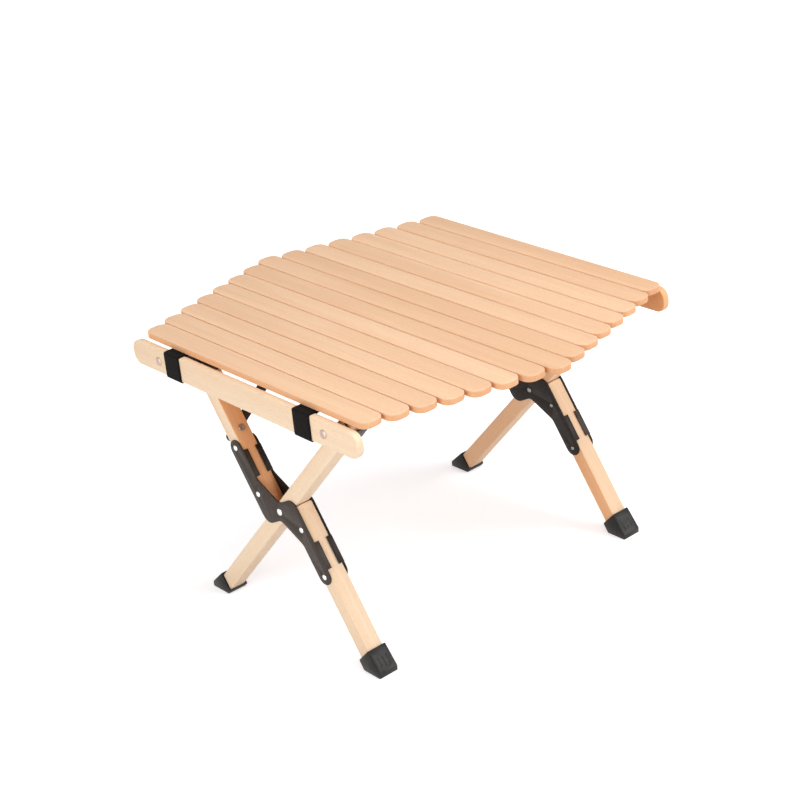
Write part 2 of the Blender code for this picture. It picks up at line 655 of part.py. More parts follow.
def hook_outline():
    """The hook plate: a lap on the leg's top and an open saddle under the rail's pin."""
    pin = Vector((HOOK_PIN_Y, RAIL_Z))
    seat = PIVOT_RADIUS + BORE_GAP
    lip = math.radians(HOOK_LIP_ANGLE)
    flank = Vector((math.cos(lip), math.sin(lip)))
    away = Vector((math.sin(lip), -math.cos(lip)))
    saddle = arc(pin, seat, 180, 270 + HOOK_LIP_ANGLE, 10)
    lip_top = pin + away * seat + flank * HOOK_LIP_LENGTH
    lip_outer = lip_top + away * HOOK_WALL
    half = LEG_WIDTH / 2
    top = SPLIT_TOP_REACH + LEG_TOP_MARGIN / 2
    leg_low_out = lean_point(SPLIT_ANGLE, top - HOOK_LEG_LAP, SPLIT_OFFSET + half)
    fold = SPLIT_OFFSET - half - SEAT_GAP - HOOK_THICKNESS / 2
    leg_low_in = lean_point(SPLIT_ANGLE, top - HOOK_LEG_LAP, fold)
    leg_top_in = lean_point(SPLIT_ANGLE, top, fold)
    back_top = pin.y + HOOK_BACK_HEIGHT
    points = [tuple(p) for p in saddle]
    points.append(tuple(lip_top))
    points.append(tuple(lip_outer))
    points.append((pin.x + seat, pin.y - seat - HOOK_WALL))
    points.append((pin.x - seat, pin.y - seat - HOOK_WALL * 1.6))
    points.append(leg_low_out)
    points.append(leg_low_in)
    points.append(leg_top_in)
    points.append((leg_top_in[0] + half, back_top))
    points.append((pin.x - seat, back_top))
    return points


def hook_plate(end, parent):
    word, sign = end
    name = "hook_plate_" + word
    spot = lean_point(SPLIT_ANGLE, SPLIT_TOP_REACH - HOOK_RIVET_DROP, SPLIT_OFFSET)
    holes = [hole(*spot, RIVET_RADIUS + BORE_GAP)]
    mesh = sheet_mesh(name, hook_outline(), HOOK_THICKNESS, holes)
    middle = LEG_FACE + SEAT_GAP + HOOK_THICKNESS / 2
    obj = part(name, mesh, BLACK_STEEL, parent, (sign * middle, 0, 0), SIDE_VIEW)
    web_outer = LEG_FACE + SEAT_GAP + HOOK_THICKNESS
    web_size = (web_outer - LEG_BACK, HOOK_LEG_LAP, HOOK_THICKNESS)
    y, z = lean_point(SPLIT_ANGLE, SPLIT_TOP_REACH + LEG_TOP_MARGIN / 2 - HOOK_LEG_LAP / 2,
                      SPLIT_OFFSET - LEG_WIDTH / 2 - SEAT_GAP - HOOK_THICKNESS / 2)
    web = cutter(name + "_web", block_mesh(name + "_web", web_size),
                 (sign * (web_outer + LEG_BACK) / 2, y, z), (SPLIT_ANGLE, 0, 0))
    cut(obj, web, 'UNION')
    name = "hook_rivet_" + word
    grip = LEG_DEPTH + SEAT_GAP + HOOK_THICKNESS + 2 * SEAT_GAP
    profile = rivet_profile(RIVET_RADIUS, RIVET_HEAD_RADIUS, RIVET_HEAD_HEIGHT, grip)
    centre = LEG_BACK - SEAT_GAP + grip / 2
    part(name, turned_mesh(name, profile), BRIGHT_STEEL, parent, (sign * centre, *spot), ALONG_X)


def back_bar_reach():
    return reach_at_height(SPLIT_ANGLE, BACK_BAR_HEIGHT, SPLIT_OFFSET)


def front_bar_reach():
    return reach_at_height(STRAIGHT_ANGLE, FRONT_BAR_HEIGHT, 0.0)


def spreader_bar(name, end, angle, offset, side, layer, start, knee, parent):
    """A flat bar from its stud in the leg to the knee in the middle.

    side is +1 when the bar lies on the right of the leg in the side view, -1 on its left.
    layer 0 lies on the leg, and layer 1 outside it on a raised shoulder.
    """
    sign = end[1]
    face = LEG_WIDTH / 2 + SEAT_GAP
    lift = layer * (BAR_THICKNESS + SEAT_GAP)
    middle = face + lift + BAR_THICKNESS / 2
    half = BAR_WIDTH / 2
    run = Vector((-sign * LEG_MIDDLE, knee - start))
    tilt = math.degrees(math.atan2(run.y, run.x))
    outline = arc(tuple(-run.normalized() * BAR_END_REACH), half, tilt + 90, tilt + 270, 8)
    outline += arc(tuple(run), half, tilt - 90, tilt + 90, 8)
    knee_hole = hole(run.x, run.y, RIVET_RADIUS + BORE_GAP)
    mesh = sheet_mesh(name, outline, BAR_THICKNESS, [knee_hole])
    y, z = lean_point(angle, start, offset + side * middle)
    obj = part(name, mesh, BLACK_STEEL, parent, (sign * LEG_MIDDLE, y, z), (angle, 0, 0))
    inner = LEG_WIDTH + SEAT_GAP * 2
    sunk = BAR_THICKNESS * 0.3
    head = dome(RIVET_HEAD_RADIUS, RIVET_HEAD_HEIGHT, 0.0, RIVET_RADIUS)
    profile = [*head, (RIVET_RADIUS, -inner + SEAT_GAP)]
    if layer:
        profile += [(SHOULDER_RADIUS, -inner + SEAT_GAP), (SHOULDER_RADIUS, -inner - lift - sunk)]
    else:
        profile += [(RIVET_RADIUS, -inner - sunk)]
    profile.append((0, profile[-1][1]))
    stud_y, stud_z = lean_point(angle, start, offset - side * (LEG_WIDTH / 2 + SEAT_GAP))
    turn = angle if side > 0 else angle + math.pi
    stud = cutter(name + "_stud", turned_mesh(name + "_stud", profile),
                  (sign * LEG_MIDDLE, stud_y, stud_z), (turn, 0, 0))
    cut(obj, stud, 'UNION')


def spreader(label, angle, offset, side, start, knee, parent):
    for layer, end in enumerate(ENDS):
        spreader_bar("spreader_bar_%s_%s" % (label, end[0]), end, angle, offset, side, layer,
                     start, knee, parent)
    name = "knee_rivet_" + label
    grip = 2 * BAR_THICKNESS + 3 * SEAT_GAP
    profile = rivet_profile(RIVET_RADIUS, RIVET_HEAD_RADIUS, RIVET_HEAD_HEIGHT, grip)
    middle = LEG_WIDTH / 2 + grip / 2
    y, z = lean_point(angle, knee, offset + side * middle)
    part(name, turned_mesh(name, profile), BRIGHT_STEEL, parent, (0, y, z), (angle, 0, 0))


def build():
    straight_frame = empty("straight_frame")
    split_frame = empty("split_frame_pivot", (0, CROSS_Y, CROSS_HEIGHT))
    top = empty("top_hinge", (0, HINGE_PIN_Y, RAIL_Z))
    for index in range(SLAT_COUNT):
        slat(index, top)
    strap("strap_back", HOOK_PIN_Y - STRAP_TO_HOOK_PIN, top)
    strap("strap_front", HINGE_PIN_Y + STRAP_TO_HINGE_PIN, top)
    for end in ENDS:
        rail(end, top)
        hinge_pin(end, top)
        hook_pin(end, top)
        straight_leg(end, straight_frame)
        hinge_bracket(end, straight_frame)
        foot("foot_straight_" + end[0], end, STRAIGHT_ANGLE, 0.0, 1, straight_frame)
        split_leg(end, split_frame)
        cross_plate(end, "outer", split_frame)
        cross_plate(end, "inner", split_frame)
        plate_rivets(end, split_frame)
        hook_plate(end, split_frame)
        foot("foot_split_" + end[0], end, SPLIT_ANGLE, -SPLIT_OFFSET, -1, split_frame)
    back_knee = reach_at_height(SPLIT_ANGLE, SLAT_UNDERSIDE - BACK_KNEE_DROP,
                                SPLIT_OFFSET + LEG_WIDTH / 2)
    front_knee = reach_at_height(STRAIGHT_ANGLE, SLAT_UNDERSIDE - FRONT_KNEE_DROP,
                                 LEG_WIDTH / 2)
    spreader("back", SPLIT_ANGLE, SPLIT_OFFSET, 1, back_bar_reach(), back_knee, split_frame)
    spreader("front", STRAIGHT_ANGLE, 0.0, 1, front_bar_reach(), front_knee, straight_frame)


build()
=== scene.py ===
"""Roll-top folding camp table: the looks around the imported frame."""
import json
import math

import bmesh
import bpy
from mathutils import Matrix, Vector

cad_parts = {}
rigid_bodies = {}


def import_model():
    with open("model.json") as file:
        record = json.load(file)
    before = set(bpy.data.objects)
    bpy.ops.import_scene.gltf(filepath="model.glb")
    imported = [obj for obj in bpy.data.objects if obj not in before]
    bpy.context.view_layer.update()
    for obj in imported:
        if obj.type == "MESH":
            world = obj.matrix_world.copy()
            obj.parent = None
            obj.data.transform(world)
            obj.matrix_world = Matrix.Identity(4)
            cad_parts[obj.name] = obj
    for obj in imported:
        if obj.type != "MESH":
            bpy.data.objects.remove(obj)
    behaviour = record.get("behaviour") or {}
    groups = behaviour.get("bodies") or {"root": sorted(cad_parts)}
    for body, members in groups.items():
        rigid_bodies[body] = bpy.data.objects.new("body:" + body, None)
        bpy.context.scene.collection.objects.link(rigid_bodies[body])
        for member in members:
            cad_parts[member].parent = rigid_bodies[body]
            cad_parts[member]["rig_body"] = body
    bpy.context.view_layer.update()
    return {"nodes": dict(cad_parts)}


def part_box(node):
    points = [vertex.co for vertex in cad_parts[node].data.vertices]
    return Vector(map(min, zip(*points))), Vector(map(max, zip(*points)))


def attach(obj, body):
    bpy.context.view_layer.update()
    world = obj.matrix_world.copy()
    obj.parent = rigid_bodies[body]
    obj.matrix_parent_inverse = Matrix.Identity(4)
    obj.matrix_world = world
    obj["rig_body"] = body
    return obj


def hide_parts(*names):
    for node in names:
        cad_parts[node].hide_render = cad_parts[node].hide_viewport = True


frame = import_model()
NODES = frame["nodes"]

# Sizes that the scene's own pieces share with the frame, in metres
ENDS = ("near", "far")
SLAT_COUNT = 15
SLAT_PITCH = 0.0387
SLAT_CORNER = 0.0145
STRAP_THICKNESS = 0.0015
STRAP_BEND = 0.0024
STRAP_TAIL = 0.044
STRAIGHT_ANGLE = math.radians(180 - 47.1)
SPLIT_ANGLE = math.radians(56.4)
PIN_SHANK = 0.004
PIN_HEAD = 0.0066
PIN_HEAD_HEIGHT = 0.002
PIN_SHOULDER = 0.007
RIVET_SHANK = 0.003
RIVET_HEAD_HEIGHT = 0.0017

# Small forms of the scene's own, in metres
FIT_GAP = 0.0003
SLAT_ROUND = 0.0013
STEEL_ROUND = 0.0004
RUBBER_ROUND = 0.0007
PIN_ROUND = 0.0004
PIN_RIM = 0.0003
HEAD_SHARE = 0.84
TAIL_RIM = 0.0002
STRAP_EDGE = 0.0006
TAIL_GAP = 0.0001
STITCH_STEP = 0.0034
STITCH_SIZE = (0.0026, 0.0007, 0.0005)
STITCH_FROM_END = 0.006
STITCH_FROM_EDGE = 0.005
STAPLE_SIZE = (0.0009, 0.010, 0.0009)
STAPLE_SHIFT = 0.009
STAPLE_ROUND = 0.00025
WELD = 2e-6

# Radius and drop of a pin's button head, from the floor of its dimple to its rim
BUTTON_CROWN = ((0, 0.0008), (0.0021, 0.0008), (0.0025, 0.0001), (0.0029, 0), (0.0046, 0.0002),
                (0.0058, 0.0008))
# Radius and height of a socket screw's head, from its socket to its seat
SCREW_HEAD = ((0, 0.0018), (0.0022, 0.0018), (0.0025, 0.0022), (0.0048, 0.0022),
              (0.0055, 0.0016), (0.0055, 0.0), (0.0045, 0.0))
# Degrees from the crown of a domed rivet head to its seat
DOME_ANGLES = (0, 12, 24, 36, 48, 60, 72, 82, 90)

# How finely round forms are cut
SLAT_CORNER_STEPS = 10
ROUND_STEPS = 40
BEND_STEPS = 5
RUN_STEPS = 24
WIDTH_STEPS = 6

# The face layer that marks rounded edges, which take painted highlights, and on steel wear as
# well
EASED_EDGE = "eased_edge"

# How deep the wood of each slat is, from the near end to the far end
SLAT_TONES = (0.34, 0.12, 0.30, 0.30, 0.24, 0.06, 0.66, 0.62, 0.86, 0.05, 0.46, 0.20, 0.34,
              0.78, 0.92)
# Picks the figure of the slats, and spreads the figures of rails and legs by their tones
SLAT_FIGURE = 31.4
FRAME_FIGURE = 7.0

# The beech grain: how fine its marks are across, along and across the board, where each board
# is cut from the log, and how its figure, growth rings, streaks and own tone add up
BOARD_STEP = (3.7, 19.1, 7.3)
FIGURE_SCALE = (34.0, 1.7, 34.0)
RING_WARP_SCALE = (26.0, 2.2, 26.0)
RING_WARP = 0.030
RING_TURNS = 1150.0
STREAK_SCALE = (620.0, 7.0, 620.0)
FLECK_SCALE = (1500.0, 170.0, 1500.0)
FLECK_STRENGTH = 0.34
FIGURE_SHARE = 0.46
RING_SHARE = 0.12
STREAK_SHARE = 0.17
TONE_SHARE = 0.50
TONE_START = 0.09

# Handling marks, as shares of a material's own mark size
SPECKLE_SCALE = (1.0, 1.0, 1.0)
PATCH_SCALE = (0.045, 0.045, 0.045)
SCRATCH_SCALE = (0.9, 0.07, 0.25)
STEEL_MARKS = 2600.0
PLATING_MARKS = 3400.0
RUBBER_MARKS = 1900.0

# The webbing's chevrons, ribs and warp threads, and the twist of the sewing thread
CHEVRON = 0.0023
RIB_TURNS = 5200.0
WARP_TURNS = 9000.0
FUZZ_SCALE = (1800.0, 1800.0, 1800.0)
TWIST_SCALE = (2500.0, 2500.0, 2500.0)

# The studio: metres from the table's middle, glow of the floor there, and light all round
FLOOR_SIZE = 12.0
FLOOR_DROP = 0.0002
FLOOR_NEAR = 0.5
FLOOR_FAR = 1.6
FLOOR_GLOW_NEAR = 0.53
FLOOR_GLOW_FAR = 0.82
ROOM_LIGHT = 0.25
# Each softbox: its name, place, aim, size and power in watts
SOFTBOXES = (("top_softbox", (0.1, -0.6, 3.0), (0.0, 0.0, 0.3), (2.2, 2.2), 44.5),
             ("front_softbox", (2.0, -3.0, 2.1), (0.0, 0.0, 0.25), (2.4, 1.8), 86.0),
             ("left_softbox", (-4.0, -0.9, 1.5), (0.0, 0.0, 0.25), (2.6, 2.0), 84.0))
# The photograph's view, found by fitting the table's corners: metres, radians, millimetres
CAMERA_PLACE = (-1.6786, -2.0681, 1.5492)
CAMERA_YAW = 0.8957
CAMERA_PITCH = 0.4447
CAMERA_ROLL = -0.1063
CAMERA_LENS = 88.2
CAMERA_SENSOR = 36.0


# Meshes

def rounded(corners, steps):
    """A closed outline from (x, y, radius) corners, each turned into an arc."""
    outline = []
    for i, (x, y, radius) in enumerate(corners):
        here = Vector((x, y))
        back = (Vector(corners[i - 1][:2]) - here).normalized()
        ahead = (Vector(corners[(i + 1) % len(corners)][:2]) - here).normalized()
        half = back.angle(ahead) / 2
        centre = here + (back + ahead).normalized() * (radius / math.sin(half))
        first = here + back * (radius / math.tan(half)) - centre
        last = here + ahead * (radius / math.tan(half)) - centre
        outline += arc(centre, first, last, steps)
    return outline


def arc(centre, first, last, steps):
    """Points round a centre, from its arm first to its arm last."""
    turn = first.angle_signed(last)
    points = []
    for k in range(steps + 1):
        arm = first.copy()
        arm.rotate(Matrix.Rotation(-turn * k / steps, 2))
        points.append(centre + arm)
    return points


def show(name, mesh, material, body, stands_for=()):
    """A finished piece of the scene, riding on its body."""
    obj = bpy.data.objects.new(name, mesh)
    bpy.context.scene.collection.objects.link(obj)
    mesh.materials.clear()
    mesh.materials.append(material)
    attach(obj, body)
    if stands_for:
        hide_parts(*stands_for)
    return obj


def ease_edges(mesh, width, segments, angle):
    """Rounds the edges sharper than angle and marks the new faces, which take painted
    highlights and, on steel, wear.
    """
    work = bmesh.new()
    work.from_mesh(mesh)
    mark = work.faces.layers.float.new(EASED_EDGE)
    sharp = [e for e in work.edges if len(e.link_faces) == 2
             and e.calc_face_angle() > math.radians(angle)]
    eased = bmesh.ops.bevel(work, geom=sharp, offset=width, segments=segments, profile=0.5,
                            affect='EDGES', clamp_overlap=True)["faces"]
    for face in eased:
        face[mark] = 1.0
    work.to_mesh(mesh)
    work.free()


def smooth(mesh, sharp=30):
    """Smooth shading, with edges of more than sharp degrees kept crisp."""
    mesh.shade_smooth()
    mesh.set_sharp_from_angle(angle=math.radians(sharp))


def board_mesh(name, outline, low, high, middle):
    """A board from its outline and the heights of its two faces, moved to middle along X."""
    mesh = bpy.data.meshes.new(name)
    work = bmesh.new()
    rims = [[work.verts.new((middle + p.x, p.y, level)) for p in outline]
            for level in (low, high)]
    work.faces.new(rims[0])
    work.faces.new(rims[1])
    for i in range(len(outline)):
        j = (i + 1) % len(outline)
        work.faces.new((rims[0][i], rims[0][j], rims[1][j], rims[1][i]))
    bmesh.ops.recalc_face_normals(work, faces=work.faces)
    work.to_mesh(mesh)
    work.free()
    return mesh


def refined(node, material, width=0.0):
    """A copy of a frame node with its flat faces joined, its edges eased and smooth shading."""
    source = NODES[node]
    mesh = source.data.copy()
    mesh.name = node + "_finish"
    work = bmesh.new()
    work.from_mesh(mesh)
    bmesh.ops.remove_doubles(work, verts=work.verts, dist=WELD)
    bmesh.ops.dissolve_limit(work, angle_limit=math.radians(1.0), verts=work.verts,
                             edges=work.edges)
    bmesh.ops.recalc_face_normals(work, faces=work.faces)
    work.to_mesh(mesh)
    work.free()
    if mesh.has_custom_normals:
        mesh.attributes.remove(mesh.attributes["custom_normal"])
    if width:
        ease_edges(mesh, width, segments=2, angle=50)
    smooth(mesh)
    show(node + "_finish", mesh, material, source["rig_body"], (node,))


# Material helpers

def feed(tree, value, socket):
    """Links the value to the socket if it is a socket too, and otherwise sets it."""
    if isinstance(value, bpy.types.NodeSocket):
        tree.links.new(value, socket)
    else:
        socket.default_value = value


def add(tree, kind, settings=None, **inputs):
    """A node with its settings; its inputs go by name, or by number as i0, i1."""
    made = tree.nodes.new(kind)
    for key, value in (settings or {}).items():
        setattr(made, key, value)
    for key, value in inputs.items():
        place = int(key[1:]) if key[1:].isdigit() else key.replace("_", " ")
        feed(tree, value, made.inputs[place])
    return made


def maths(tree, operation, a, b=0.0, clamp=False):
    return add(tree, "ShaderNodeMath", {"operation": operation, "use_clamp": clamp},
               i0=a, i1=b).outputs[0]


def vector(tree, operation, a, b):
    return add(tree, "ShaderNodeVectorMath", {"operation": operation}, i0=a, i1=b).outputs[0]


def scaled(tree, place, by):
    return add(tree, "ShaderNodeVectorMath", {"operation": "SCALE"}, i0=place,
               Scale=by).outputs[0]


def axes(tree, place):
    """The X, Y and Z of a vector."""
    return add(tree, "ShaderNodeSeparateXYZ", None, Vector=place).outputs


def weighted(tree, parts):
    """The sum of (value, share) pairs."""
    total = 0.0
    for value, share in parts:
        total = maths(tree, "ADD", maths(tree, "MULTIPLY", value, share), total)
    return total


def waves(tree, place, turns):
    """A sine from -1 to 1 along a place in metres; turns is its angle for one metre."""
    return maths(tree, "SINE", maths(tree, "MULTIPLY", place, turns))


def remap(tree, value, low, high, to_low=0.0, to_high=1.0):
    """The value's range from low to high spread over to_low to to_high, and held there."""
    return add(tree, "ShaderNodeMapRange", None, Value=value, From_Min=low, From_Max=high,
               To_Min=to_low, To_Max=to_high).outputs[0]


def noise(tree, place, scale, detail=2.0, roughness=0.5, distortion=0.0):
    """Soft noise, stretched by one scale for each axis."""
    return add(tree, "ShaderNodeTexNoise", None, Vector=vector(tree, "MULTIPLY", place, scale),
               Scale=1.0, Detail=detail, Roughness=roughness,
               Distortion=distortion).outputs["Fac"]


def blend(tree, factor, a, b, kind="MIX"):
    """The colour a where factor is 0, and b where it is 1."""
    return add(tree, "ShaderNodeMix", {"data_type": "RGBA", "blend_type": kind}, i0=factor,
               i6=a, i7=b).outputs[2]


def group(name, inputs, outputs):
    """An empty shader group; returns the tree, what it is given and what it puts out."""
    tree = bpy.data.node_groups.new(name, "ShaderNodeTree")
    for label, kind in inputs.items():
        tree.interface.new_socket(label, in_out='INPUT', socket_type=kind)
    for label, kind in outputs.items():
        tree.interface.new_socket(label, in_out='OUTPUT', socket_type=kind)
    source = tree.nodes.new("NodeGroupInput")
    sink = tree.nodes.new("NodeGroupOutput")
    return tree, source.outputs, sink.inputs


def use(tree, made, **inputs):
    """Places a shader group and returns what it puts out."""
    return add(tree, "ShaderNodeGroup", {"node_tree": made}, **inputs).outputs


def surface(name, **values):
    """A material with its Principled shader; values are set on the shader's own sockets."""
    material = bpy.data.materials.new(name)
    material.use_nodes = True
    tree = material.node_tree
    shader = tree.nodes["Principled BSDF"]
    for key, value in values.items():
        shader.inputs[key.replace("_", " ")].default_value = value
    return material, tree, shader


def finish(tree, shader, shade, rough, height, strength, depth):
    """Puts a colour, a roughness and a relief on a shader; depth is in metres."""
    relief = add(tree, "ShaderNodeBump", None, Strength=strength, Distance=depth, Height=height)
    tree.links.new(shade, shader.inputs["Base Color"])
    tree.links.new(rough, shader.inputs["Roughness"])
    tree.links.new(relief.outputs[0], shader.inputs["Normal"])


def eased_edge(tree):
    """1 on the rounded edges of a piece, 0 on its faces."""
    return add(tree, "ShaderNodeAttribute", {"attribute_name": EASED_EDGE}).outputs["Fac"]


def lay(tree):
    """Where a point is on its piece, as Object, and which way it looks there, as Normal."""
    return tree.nodes.new("ShaderNodeTexCoord").outputs


def colour(red, green, blue):
    """A solid colour in linear light."""
    return (red, green, blue, 1.0)


# Colours, in linear light; pairs are the darker and the lighter one of a speckle

SLAT_PALE = colour(0.91, 0.615, 0.40)
SLAT_DEEP = colour(0.73, 0.43, 0.245)
# Slat faces that don't look up: partly the darker end grain, partly painted shade
SLAT_RIM_PALE = colour(0.86, 0.44, 0.20)
SLAT_RIM_DEEP = colour(0.72, 0.33, 0.14)
FRAME_PALE = colour(0.95, 0.745, 0.53)
FRAME_DEEP = colour(0.84, 0.56, 0.345)
# Painted shade: the deeper orange of leg and rail faces that lie in the shade under the top
PAINTED_SHADE_PALE = colour(0.95, 0.50, 0.235)
PAINTED_SHADE_DEEP = colour(0.84, 0.38, 0.15)
RAY_FLECK = colour(0.72, 0.58, 0.46)
OUTER_BLACK = (colour(0.038, 0.026, 0.019), colour(0.056, 0.041, 0.031))
# Painted shade: the inner plates' blacks, darker than the outer ones
INNER_SHADE_BLACK = (colour(0.012, 0.008, 0.006), colour(0.022, 0.015, 0.011))
RUBBED_BLACK = colour(0.17, 0.14, 0.12)
# Wear and a painted highlight, along the plates' rounded edges
WEAR_AND_HIGHLIGHT_BLACK = colour(0.19, 0.165, 0.14)
BRIGHT_PLATING = colour(0.80, 0.79, 0.77)
PIN_PLATING = colour(0.52, 0.40, 0.33)
SCREW_PLATING = colour(0.42, 0.31, 0.23)
# Painted shade for faces of plated steel that look towards the table's middle
TAIL_SHADE = colour(0.35, 0.34, 0.32)
RUBBER_BLACK = (colour(0.006, 0.0055, 0.0045), colour(0.013, 0.012, 0.010))
RUBBER_DUST = colour(0.17, 0.155, 0.135)
# Painted highlight along the rubber's rounded edges
RUBBER_EDGE_HIGHLIGHT = colour(0.17, 0.165, 0.15)
WEBBING_BLACK = (colour(0.0036, 0.0026, 0.0020), colour(0.013, 0.010, 0.008))
THREAD_BLACK = (colour(0.02, 0.02, 0.02), colour(0.07, 0.07, 0.068))
FLOOR_PALE = colour(0.85, 0.86, 0.90)
WHITE = colour(1.0, 1.0, 1.0)


# Shared effects

def beech_grain_group():
    """Beech: soft growth bands, long streaks and short ray flecks, with the grain along Y."""
    tree, given, out = group(
        "beech_grain",
        {"Place": 'NodeSocketVector', "Board": 'NodeSocketFloat', "Tone": 'NodeSocketFloat',
         "Pale": 'NodeSocketColor', "Deep": 'NodeSocketColor'},
        {"Color": 'NodeSocketColor', "Roughness": 'NodeSocketFloat',
         "Height": 'NodeSocketFloat'})
    log = vector(tree, "ADD", given["Place"], scaled(tree, BOARD_STEP, given["Board"]))
    figure = noise(tree, log, FIGURE_SCALE, 2.0, 0.5, 0.5)
    warp = noise(tree, log, RING_WARP_SCALE, 3.0, 0.55)
    across = maths(tree, "ADD", axes(tree, log)[0], maths(tree, "MULTIPLY", warp, RING_WARP))
    rings = remap(tree, waves(tree, across, RING_TURNS), -1.0, 1.0)
    streaks = noise(tree, log, STREAK_SCALE, 3.0, 0.6)
    flecks = remap(tree, noise(tree, log, FLECK_SCALE, 1.0, 0.5), 0.60, 0.72)
    tone = weighted(tree, ((remap(tree, figure, 0.30, 0.70), FIGURE_SHARE),
                           (rings, RING_SHARE),
                           (remap(tree, streaks, 0.35, 0.70), STREAK_SHARE),
                           (given["Tone"], TONE_SHARE)))
    tone = maths(tree, "SUBTRACT", tone, TONE_START, clamp=True)
    body = blend(tree, tone, given["Pale"], given["Deep"])
    fleck_colour = blend(tree, 1.0, given["Deep"], RAY_FLECK, "MULTIPLY")
    shown = blend(tree, maths(tree, "MULTIPLY", flecks, FLECK_STRENGTH), body, fleck_colour)
    tree.links.new(shown, out["Color"])
    tree.links.new(remap(tree, streaks, 0.3, 0.7, 0.50, 0.64), out["Roughness"])
    tree.links.new(weighted(tree, ((streaks, 0.5), (flecks, -0.35))), out["Height"])
    return tree


def scuff_group():
    """Handling marks: fine speckle and a few rubbed patches."""
    tree, given, out = group(
        "handling_scuffs",
        {"Place": 'NodeSocketVector', "Size": 'NodeSocketFloat'},
        {"Speckle": 'NodeSocketFloat', "Rubbed": 'NodeSocketFloat'})
    place = scaled(tree, given["Place"], given["Size"])
    patches = noise(tree, place, PATCH_SCALE, 3.0, 0.6)
    scratches = noise(tree, place, SCRATCH_SCALE, 2.0, 0.5)
    rubbed = maths(tree, "MULTIPLY", remap(tree, patches, 0.52, 0.72),
                   remap(tree, scratches, 0.52, 0.66), clamp=True)
    tree.links.new(noise(tree, place, SPECKLE_SCALE, 2.0, 0.6), out["Speckle"])
    tree.links.new(rubbed, out["Rubbed"])
    return tree


def weave_group():
    """Flat woven webbing: chevron ribs along the strap with raised warp threads."""
    tree, given, out = group(
        "webbing_weave",
        {"Place": 'NodeSocketVector'},
        {"Height": 'NodeSocketFloat', "Thread": 'NodeSocketFloat'})
    place = axes(tree, given["Place"])
    along = maths(tree, "ADD", place[0], maths(tree, "PINGPONG", place[1], CHEVRON))
    ribs = waves(tree, along, RIB_TURNS)
    warp = waves(tree, place[1], WARP_TURNS)
    height = weighted(tree, ((ribs, 0.35), (warp, 0.15)))
    tree.links.new(maths(tree, "ADD", height, 0.5), out["Height"])
    fuzz = noise(tree, given["Place"], FUZZ_SCALE, 2.0, 0.6)
    tree.links.new(maths(tree, "MULTIPLY", remap(tree, ribs, -1.0, 1.0), fuzz), out["Thread"])
    return tree


BEECH_GRAIN = beech_grain_group()
SCUFFS = scuff_group()
WEAVE = weave_group()


# Materials

def finish_beech(tree, shader, place, board, tone, pale, deep):
    """Puts the grain of one board on its shader."""
    grain = use(tree, BEECH_GRAIN, Place=place, Board=board, Tone=tone, Pale=pale, Deep=deep)
    finish(tree, shader, grain["Color"], grain["Roughness"], grain["Height"], 0.18, 0.0004)


def slat_beech():
    """Each slat has its own tone and figure, picked by its place along the top."""
    material, tree, shader = surface("slat_beech", Coat_Weight=0.05, Coat_Roughness=0.4,
                                     Specular_IOR_Level=0.35)
    where = lay(tree)
    x = axes(tree, where["Object"])[0]
    number = maths(tree, "ROUND", maths(tree, "DIVIDE", x, SLAT_PITCH))
    board = add(tree, "ShaderNodeTexWhiteNoise", {"noise_dimensions": '1D'},
                W=maths(tree, "ADD", number, SLAT_FIGURE)).outputs["Value"]
    along = maths(tree, "DIVIDE", maths(tree, "ADD", number, SLAT_COUNT / 2), SLAT_COUNT)
    tones = add(tree, "ShaderNodeValToRGB", None, Fac=along)
    tones.color_ramp.interpolation = 'CONSTANT'
    stops = tones.color_ramp.elements
    for i, tone in enumerate(SLAT_TONES):
        stop = stops[i] if i < len(stops) else stops.new(i / SLAT_COUNT)
        stop.position = i / SLAT_COUNT
        stop.color = colour(tone, tone, tone)
    # Faces that don't look up are deeper orange: partly the darker end grain, partly painted
    # shade
    rim = remap(tree, axes(tree, where["Normal"])[2], 0.55, 0.10, 0.0, 0.7)
    finish_beech(tree, shader, where["Object"], board, tones.outputs[0],
                 blend(tree, rim, SLAT_PALE, SLAT_RIM_PALE),
                 blend(tree, rim, SLAT_DEEP, SLAT_RIM_DEEP))
    return material


def frame_beech(name, turn, tone, side=0.0, edge=0.0):
    """Paler beech for rails and legs; turn lays the grain along the piece. Its two sides and
    the faces between them get painted shade, deeper orange by side and by edge, where the top
    shades them."""
    material, tree, shader = surface(name, Coat_Weight=0.05, Coat_Roughness=0.4,
                                     Specular_IOR_Level=0.35)
    where = lay(tree)
    place = add(tree, "ShaderNodeMapping", None, Vector=where["Object"],
                Rotation=(-turn, 0.0, 0.0)).outputs[0]
    aside = maths(tree, "ABSOLUTE", axes(tree, where["Normal"])[0])
    # Painted shade: the two sides deeper by side, and the faces between them by edge
    painted_shade = remap(tree, aside, 0.85, 0.45, side, edge)
    finish_beech(tree, shader, place, tone * FRAME_FIGURE, tone,
                 blend(tree, painted_shade, FRAME_PALE, PAINTED_SHADE_PALE), blend(tree, painted_shade, FRAME_DEEP, PAINTED_SHADE_DEEP))
    return material


def black_steel(name, blacks):
    """Painted plate, rubbed in patches, with wear and a painted highlight along its edges."""
    material, tree, shader = surface(name, Specular_IOR_Level=0.16)
    marks = use(tree, SCUFFS, Place=lay(tree)["Object"], Size=STEEL_MARKS)
    shade = blend(tree, marks["Speckle"], *blacks)
    shade = blend(tree, maths(tree, "MULTIPLY", marks["Rubbed"], 0.5), shade, RUBBED_BLACK)
    # Lighter rounded edges: partly wear, partly painted highlight
    wear_and_highlight = maths(tree, "MULTIPLY", eased_edge(tree), remap(tree, marks["Speckle"], 0.35, 0.65))
    shade = blend(tree, maths(tree, "MULTIPLY", wear_and_highlight, 0.5), shade, WEAR_AND_HIGHLIGHT_BLACK)
    rough = remap(tree, marks["Speckle"], 0.2, 0.8, 0.34, 0.50)
    finish(tree, shader, shade, rough, marks["Speckle"], 0.12, 0.0003)
    return material


